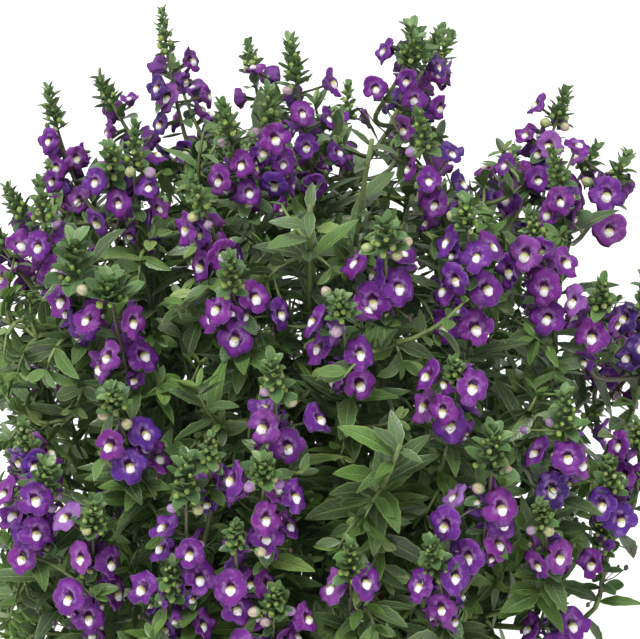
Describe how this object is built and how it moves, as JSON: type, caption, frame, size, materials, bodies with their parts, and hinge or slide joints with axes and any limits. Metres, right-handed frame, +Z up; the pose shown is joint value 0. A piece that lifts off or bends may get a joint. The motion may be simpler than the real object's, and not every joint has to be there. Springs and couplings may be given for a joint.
{
  "type": "potted angelonia",
  "caption": "Bushy purple-flowered angelonia with upright flower racemes on leafy stems, growing in soil in a plain round clay pot.",
  "frame": {"origin": "middle of the pot's flat underside", "axes": "+Z up along the pot's axis; -Y is the side of the plant that faces the viewer; +X is the viewer's right"},
  "size_m": [0.3772, 0.3919, 0.5151],
  "materials": {
    "pot": "matte fired clay",
    "soil": "rough",
    "greenery": "satin",
    "flowers": "soft matte"
  },
  "bodies": {
    "root": {"leafy_stem_01": "greenery", "leafy_stem_02": "greenery", "leafy_stem_03": "greenery", "leafy_stem_04": "greenery", "leafy_stem_05": "greenery", "leafy_stem_06": "greenery", "leafy_stem_07": "greenery", "leafy_stem_08": "greenery", "leafy_stem_09": "greenery", "leafy_stem_10": "greenery", "pot": "pot", "raceme_01": "flowers", "raceme_02": "flowers", "raceme_03": "flowers", "raceme_04": "flowers", "raceme_05": "flowers", "raceme_06": "flowers", "raceme_07": "flowers", "raceme_08": "flowers", "raceme_09": "flowers", "raceme_10": "flowers", "raceme_11": "flowers", "raceme_12": "flowers", "raceme_13": "flowers", "raceme_14": "flowers", "raceme_15": "flowers", "raceme_16": "flowers", "raceme_17": "flowers", "raceme_18": "flowers", "raceme_19": "flowers", "raceme_20": "flowers", "raceme_21": "flowers", "raceme_22": "flowers", "raceme_23": "flowers", "raceme_24": "flowers", "raceme_25": "flowers", "raceme_26": "flowers", "raceme_27": "flowers", "raceme_28": "flowers", "raceme_29": "flowers", "raceme_30": "flowers", "raceme_31": "flowers", "raceme_32": "flowers", "raceme_33": "flowers", "raceme_34": "flowers", "raceme_35": "flowers", "raceme_36": "flowers", "raceme_37": "flowers", "raceme_38": "flowers", "raceme_39": "flowers", "raceme_40": "flowers", "raceme_41": "flowers", "raceme_42": "flowers", "raceme_43": "flowers", "raceme_44": "flowers", "raceme_45": "flowers", "raceme_46": "flowers", "raceme_47": "flowers", "raceme_48": "flowers", "soil": "soil"}
  },
  "joints": []
}
